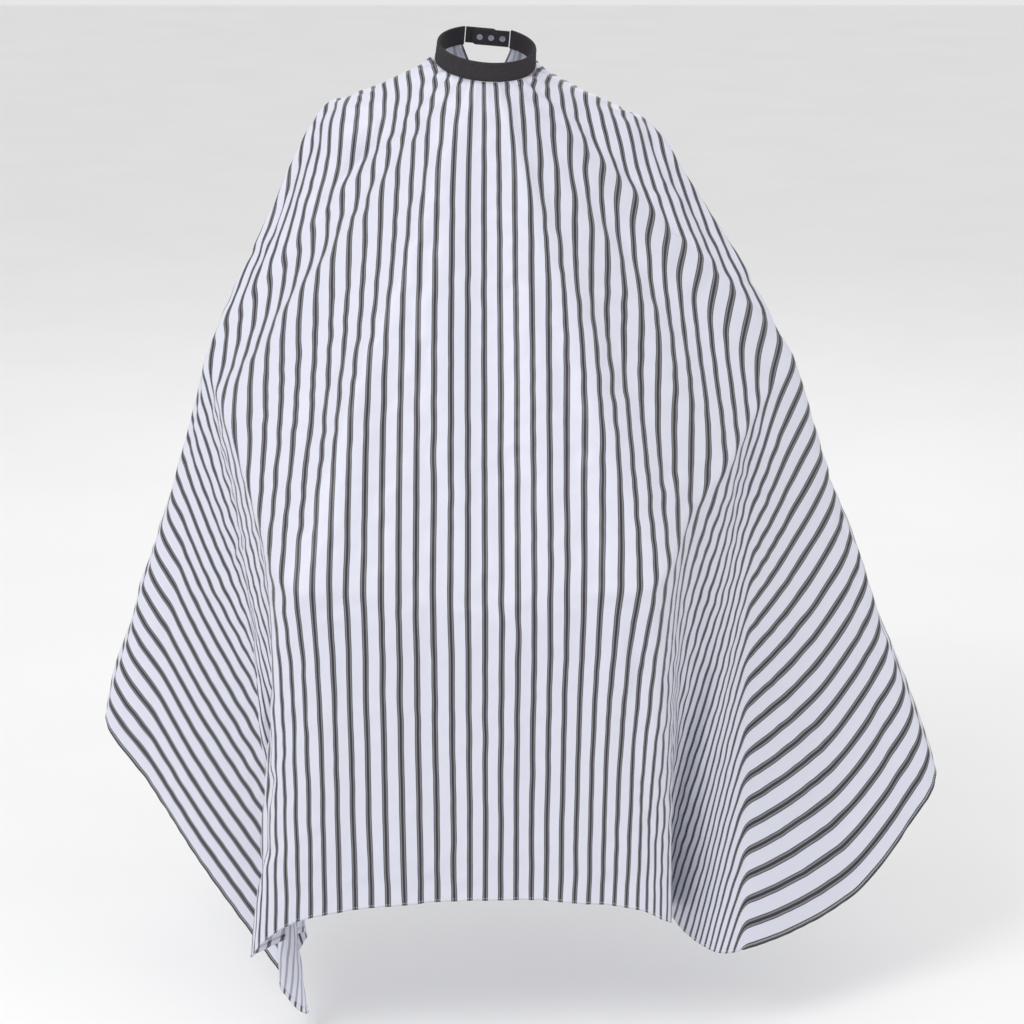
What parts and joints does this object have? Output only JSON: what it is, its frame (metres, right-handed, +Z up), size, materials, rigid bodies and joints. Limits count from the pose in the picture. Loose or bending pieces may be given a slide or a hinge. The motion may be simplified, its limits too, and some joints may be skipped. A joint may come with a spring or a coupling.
{
  "type": "barber cape",
  "caption": "Striped lightweight cloth cape draped as on a seated wearer, with narrow hems, a back slit and a gathered black elastic neckband closed by a snap tab at the nape.",
  "frame": {"origin": "centre of the neck opening, at the middle of the neckband's height", "axes": "+Z up, the wearer faces -Y, +X towards the wearer's left"},
  "size_m": [1.0985, 0.5265, 1.2246],
  "materials": {
    "striped_cloth": "smooth woven polyester, pale with dark pinstripes",
    "white_thread": "lockstitch",
    "black_band": "matt gathered cloth",
    "black_thread": "lockstitch",
    "elastic": "matt",
    "interfacing": "matt, stiff",
    "snap_metal": "polished"
  },
  "bodies": {
    "cape": {"cape_panel": "striped_cloth", "front_hem": "striped_cloth", "left_hem": "striped_cloth", "right_hem": "striped_cloth", "back_left_hem": "striped_cloth", "back_right_hem": "striped_cloth", "left_placket": "striped_cloth", "right_placket": "striped_cloth", "hem_thread": "white_thread", "neckband_cover": "black_band", "neckband_elastic": "elastic", "neckband_facing": "black_band", "neckband_thread": "black_thread", "under_tab_cover": "black_band", "under_tab_stiffener": "interfacing", "under_tab_facing": "black_band", "under_tab_thread": "black_thread", "snap_studs": "snap_metal", "stud_rivets": "snap_metal"},
    "over_tab": {"over_tab_cover": "black_band", "over_tab_stiffener": "interfacing", "over_tab_facing": "black_band", "over_tab_thread": "black_thread", "snap_caps": "snap_metal", "snap_sockets": "snap_metal", "socket_springs": "snap_metal"}
  },
  "joints": [
    {"name": "over_tab_peel", "type": "hinge", "parent": "cape", "child": "over_tab", "pos_m": [-0.02756, 0.05689, 0.01771], "axis": [0.0842, -0.2588, 0.9623], "range_deg": [0, 75], "deforming": ["socket_springs"]}
  ]
}
